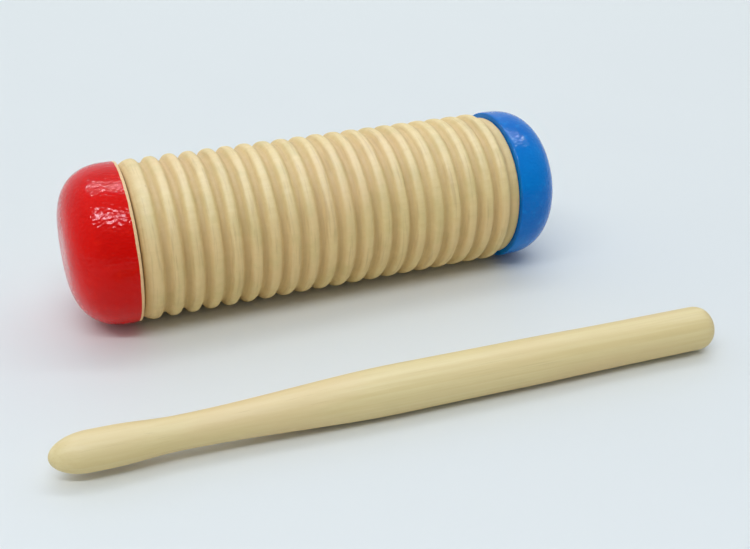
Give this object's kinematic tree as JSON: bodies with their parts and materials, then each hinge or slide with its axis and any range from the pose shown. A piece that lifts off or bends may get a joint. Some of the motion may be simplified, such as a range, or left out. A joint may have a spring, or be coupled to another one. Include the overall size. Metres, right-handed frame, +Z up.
{
  "type": "sand scraper",
  "caption": "Ribbed wooden barrel with a red and a blue painted end cap and a loose fill inside, shaken as a rattle or scraped with a separate turned wooden stick.",
  "frame": {"origin": "on the table, under the middle of the box around the barrel and the stick as they lie in the picture", "axes": "+X along the barrel from the red cap to the blue cap, +Y from the stick towards the barrel, +Z up"},
  "size_m": [0.192, 0.1182, 0.0504],
  "materials": {
    "bare_wood": "turned bare wood, satin, fine grain along the barrel",
    "red_paint": "wood under gloss red enamel with a slight orange peel",
    "blue_paint": "wood under gloss blue enamel with a slight orange peel",
    "pale_wood": "turned pale wood, satin, fine grain along the stick",
    "pellets": "matt"
  },
  "bodies": {
    "barrel": {"ribbed_barrel": "bare_wood", "red_end_cap": "red_paint", "blue_end_cap": "blue_paint"},
    "stick": {"scraper_stick": "pale_wood"},
    "fill": {"pellet_01": "pellets", "pellet_02": "pellets", "pellet_03": "pellets", "pellet_04": "pellets", "pellet_05": "pellets", "pellet_06": "pellets", "pellet_07": "pellets", "pellet_08": "pellets", "pellet_09": "pellets", "pellet_10": "pellets", "pellet_11": "pellets", "pellet_12": "pellets", "pellet_13": "pellets", "pellet_14": "pellets", "pellet_15": "pellets", "pellet_16": "pellets", "pellet_17": "pellets", "pellet_18": "pellets", "pellet_19": "pellets", "pellet_20": "pellets", "pellet_21": "pellets", "pellet_22": "pellets", "pellet_23": "pellets", "pellet_24": "pellets", "pellet_25": "pellets", "pellet_26": "pellets", "pellet_27": "pellets", "pellet_28": "pellets", "pellet_29": "pellets", "pellet_30": "pellets", "pellet_31": "pellets", "pellet_32": "pellets", "pellet_33": "pellets", "pellet_34": "pellets", "pellet_35": "pellets", "pellet_36": "pellets", "pellet_37": "pellets", "pellet_38": "pellets", "pellet_39": "pellets", "pellet_40": "pellets"}
  },
  "joints": [
    {"name": "stick_swing", "type": "hinge", "parent": "barrel", "child": "stick", "pos_m": [0.0902, -0.05257, 0.0068], "axis": [-0.0087, 0.5778, -0.8161], "range_deg": [0, 70]},
    {"name": "fill_slide", "type": "slide", "parent": "barrel", "child": "fill", "axis": [1, 0, 0], "range_m": [-0.034, 0.034]}
  ]
}
